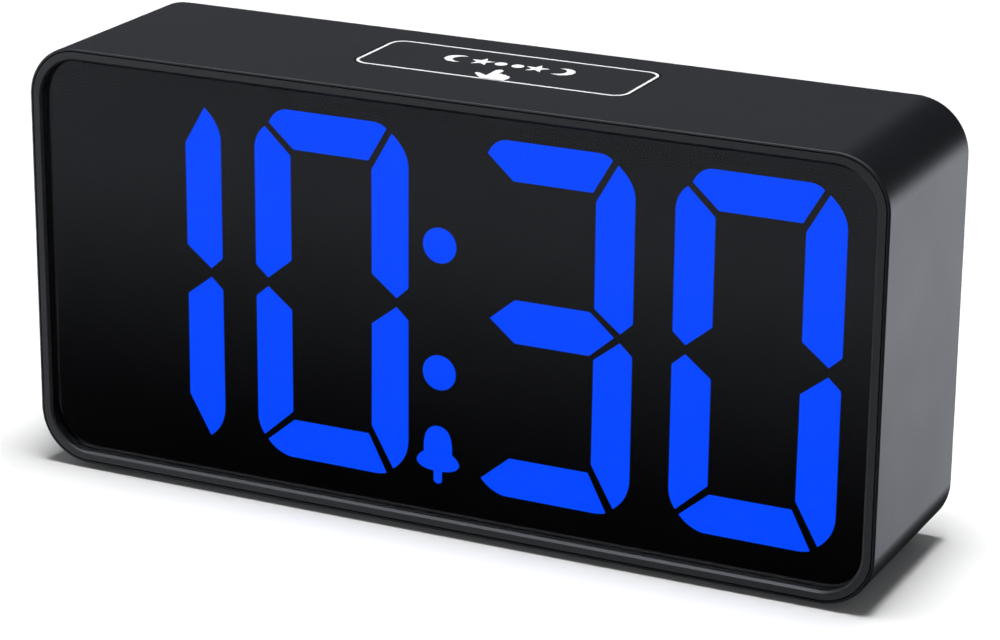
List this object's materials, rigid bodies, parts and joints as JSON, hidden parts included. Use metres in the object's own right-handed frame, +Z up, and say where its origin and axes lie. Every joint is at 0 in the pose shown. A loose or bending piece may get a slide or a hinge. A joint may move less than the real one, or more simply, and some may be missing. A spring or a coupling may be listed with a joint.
{
  "type": "alarm clock",
  "caption": "Slim rounded desk alarm clock with a large lit seven-segment display, a snooze key on top, and keys, dimmer, sockets, speaker and battery bay at the back.",
  "frame": {"origin": "on the table under the middle of the clock: bottom centre of the bounding box", "axes": "+X along the display's width, to the right as the viewer sees it; the display faces -Y; +Z up"},
  "size_m": [0.16, 0.039, 0.0784],
  "materials": {
    "case": "fine satin texture",
    "bezel": "satin",
    "lens": "smoked clear acrylic, polished",
    "diffuser": "frosted, lit blue",
    "reflector": "matt white",
    "circuit_board": "solder mask",
    "key": "fine satin texture",
    "rubber": "matt",
    "component": "moulded",
    "plunger": "moulded, off-white",
    "nickel": "nickel plated",
    "screw": "zinc plated",
    "cone": "pressed paper",
    "cell": "printed sleeve, satin",
    "cable": "flexible film"
  },
  "bodies": {
    "clock": {"housing_sleeve": "case", "rear_cover": "case", "front_bezel": "bezel", "display_lens": "lens", "segment_diffuser": "diffuser", "display_reflector": "reflector", "display_board": "circuit_board", "snooze_board": "circuit_board", "control_board": "circuit_board", "power_board": "circuit_board", "rubber_foot_1": "rubber", "rubber_foot_2": "rubber", "rubber_foot_3": "rubber", "rubber_foot_4": "rubber", "clock_chip": "component", "capacitor": "component", "snooze_switch": "component", "alarm_slider_body": "component", "dimmer_potentiometer": "component", "power_jack": "component", "time_key_switch": "component", "alarm_key_switch": "component", "minus_key_switch": "component", "plus_key_switch": "component", "format_key_switch": "component", "usb_tongue": "plunger", "crystal": "nickel", "speaker_frame": "nickel", "battery_bridge_contact": "nickel", "battery_plus_contact": "nickel", "battery_minus_contact": "nickel", "battery_spring_1": "nickel", "battery_spring_2": "nickel", "power_jack_pin": "nickel", "usb_shell": "nickel", "case_screw_1": "screw", "case_screw_2": "screw", "case_screw_3": "screw", "case_screw_4": "screw", "speaker_magnet": "screw", "speaker_cone": "cone", "battery_cell_1": "cell", "battery_cell_2": "cell", "ribbon_cable": "cable"},
    "snooze_key": {"snooze_key": "key", "snooze_plunger": "plunger"},
    "time_key": {"time_key": "key", "time_key_plunger": "plunger"},
    "alarm_key": {"alarm_key": "key", "alarm_key_plunger": "plunger"},
    "minus_key": {"minus_key": "key", "minus_key_plunger": "plunger"},
    "plus_key": {"plus_key": "key", "plus_key_plunger": "plunger"},
    "format_key": {"format_key": "key", "format_key_plunger": "plunger"},
    "alarm_slider": {"alarm_slider_knob": "key"},
    "dimmer_wheel": {"dimmer_wheel": "key", "dimmer_shaft": "nickel"},
    "battery_door": {"battery_door": "case"}
  },
  "joints": [
    {"name": "snooze_press", "type": "slide", "parent": "clock", "child": "snooze_key", "axis": [0, 0, -1], "range_m": [0, 0.0008], "stiffness_N_per_m": 800, "springref_m": -0.0003},
    {"name": "time_key_press", "type": "slide", "parent": "clock", "child": "time_key", "axis": [0, -1, 0], "range_m": [0, 0.0008], "stiffness_N_per_m": 800, "springref_m": -0.0003},
    {"name": "alarm_key_press", "type": "slide", "parent": "clock", "child": "alarm_key", "axis": [0, -1, 0], "range_m": [0, 0.0008], "stiffness_N_per_m": 800, "springref_m": -0.0003},
    {"name": "minus_key_press", "type": "slide", "parent": "clock", "child": "minus_key", "axis": [0, -1, 0], "range_m": [0, 0.0008], "stiffness_N_per_m": 800, "springref_m": -0.0003},
    {"name": "plus_key_press", "type": "slide", "parent": "clock", "child": "plus_key", "axis": [0, -1, 0], "range_m": [0, 0.0008], "stiffness_N_per_m": 800, "springref_m": -0.0003},
    {"name": "format_key_press", "type": "slide", "parent": "clock", "child": "format_key", "axis": [0, -1, 0], "range_m": [0, 0.0008], "stiffness_N_per_m": 800, "springref_m": -0.0003},
    {"name": "alarm_slider_slide", "type": "slide", "parent": "clock", "child": "alarm_slider", "axis": [1, 0, 0], "range_m": [0, 0.0025]},
    {"name": "dimmer_turn", "type": "hinge", "parent": "clock", "child": "dimmer_wheel", "pos_m": [0.05, 0.0101, 0.0597], "axis": [0, 0, 1], "range_deg": [-135, 135]},
    {"name": "battery_door_swing", "type": "hinge", "parent": "clock", "child": "battery_door", "pos_m": [0, 0.0178, 0.0145], "axis": [-1, 0, 0], "range_deg": [0, 100]}
  ]
}
